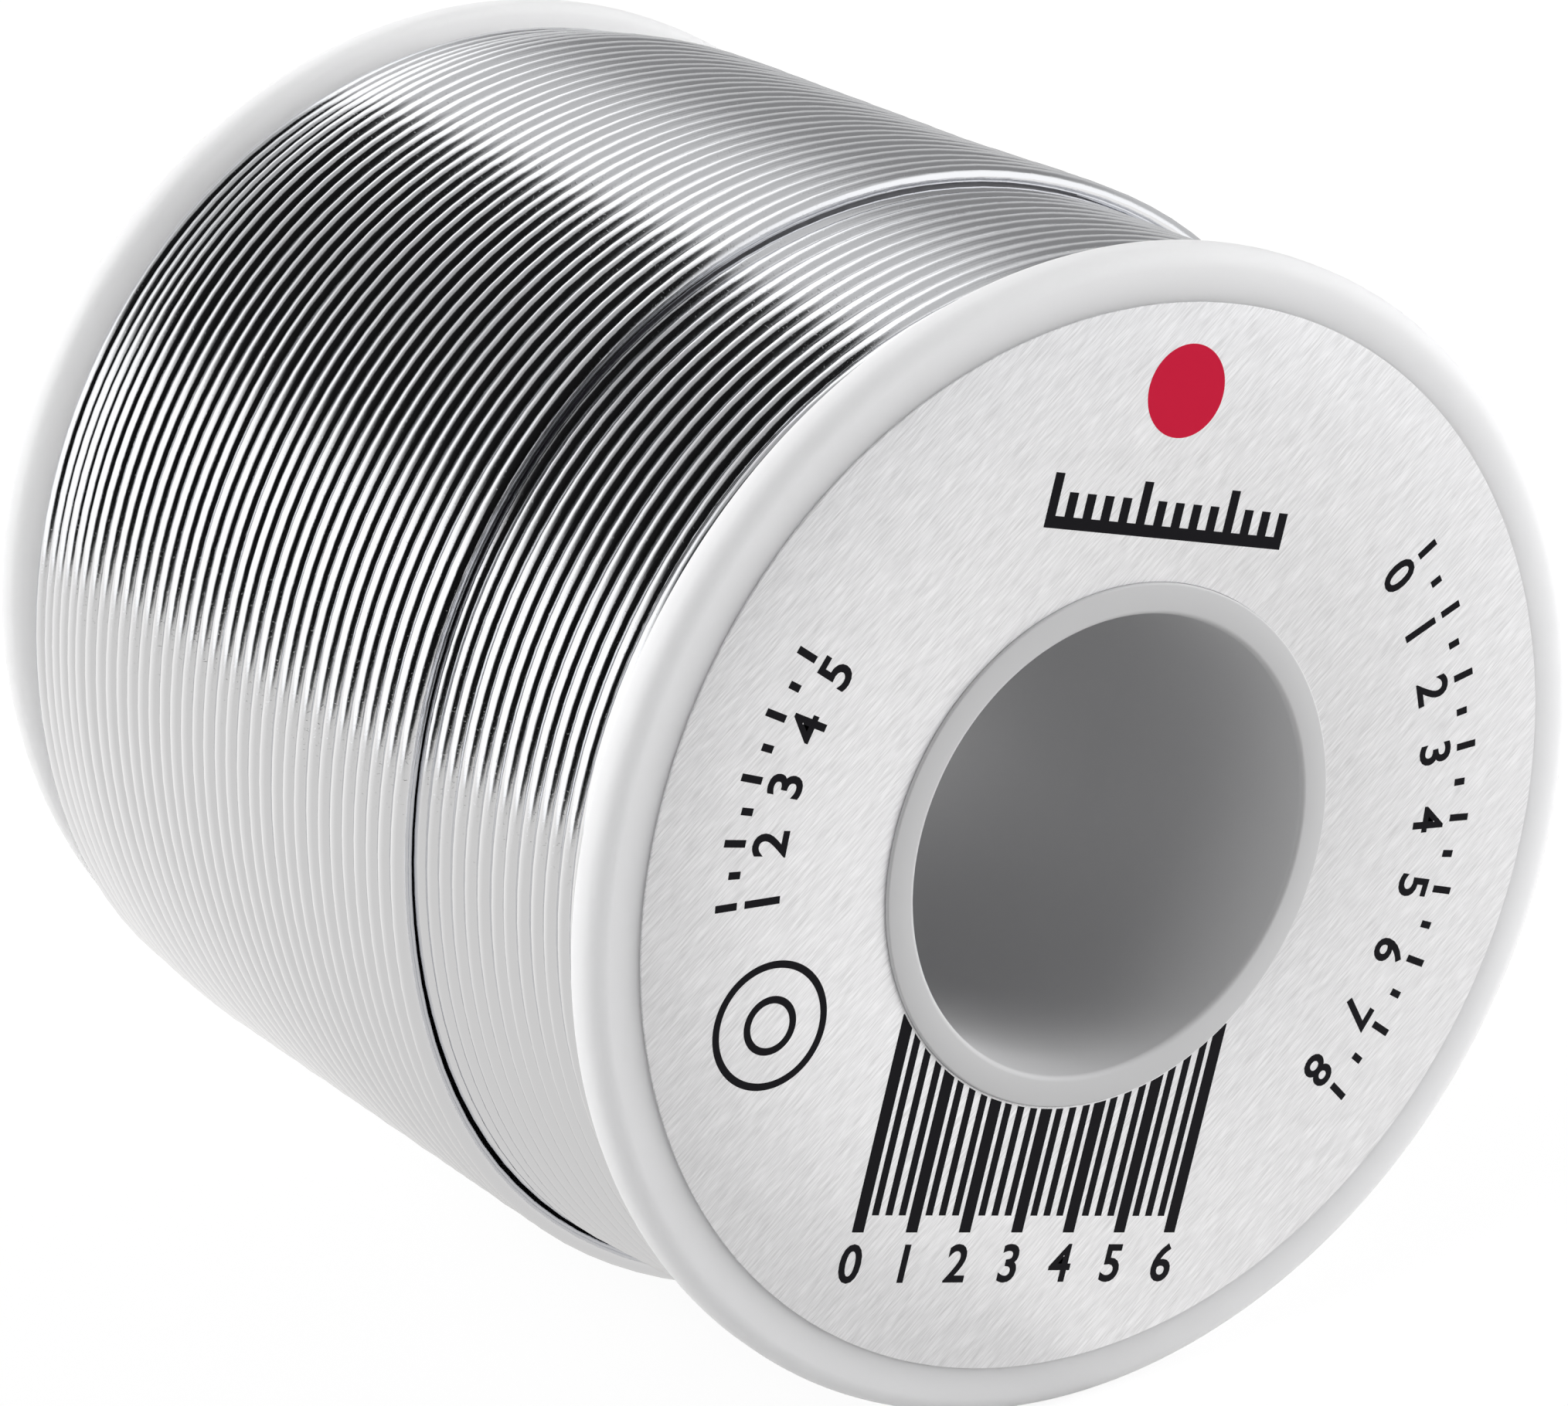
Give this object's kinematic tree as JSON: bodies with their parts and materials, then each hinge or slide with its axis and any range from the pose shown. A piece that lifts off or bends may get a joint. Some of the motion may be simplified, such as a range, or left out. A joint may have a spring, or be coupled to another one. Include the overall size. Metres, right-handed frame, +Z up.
{
  "type": "solder wire spool",
  "caption": "Plastic spool of solder wire: two round flanges on a hollow barrel, a foil label disc, and level-wound bright wire with one layer step.",
  "frame": {"origin": "on the spool's axis, midway between the outer faces of the two flanges", "axes": "+Y along the spool's axis, from the labelled front flange to the rear flange; +Z up with the spool lying on its two flange rims; +X to the right when facing the label"},
  "size_m": [0.054, 0.0543, 0.054],
  "materials": {
    "spool_plastic": "white moulded polystyrene, satin",
    "label_foil": "silver foil with fine diagonal brushing",
    "solder_wire": "bright drawn tin solder, mirror-like along the wire"
  },
  "bodies": {
    "root": {"front_flange": "spool_plastic", "rear_flange": "spool_plastic", "hub_barrel": "spool_plastic", "front_label": "label_foil", "buried_wire_layers": "solder_wire", "outer_wire_turns": "solder_wire"}
  },
  "joints": []
}
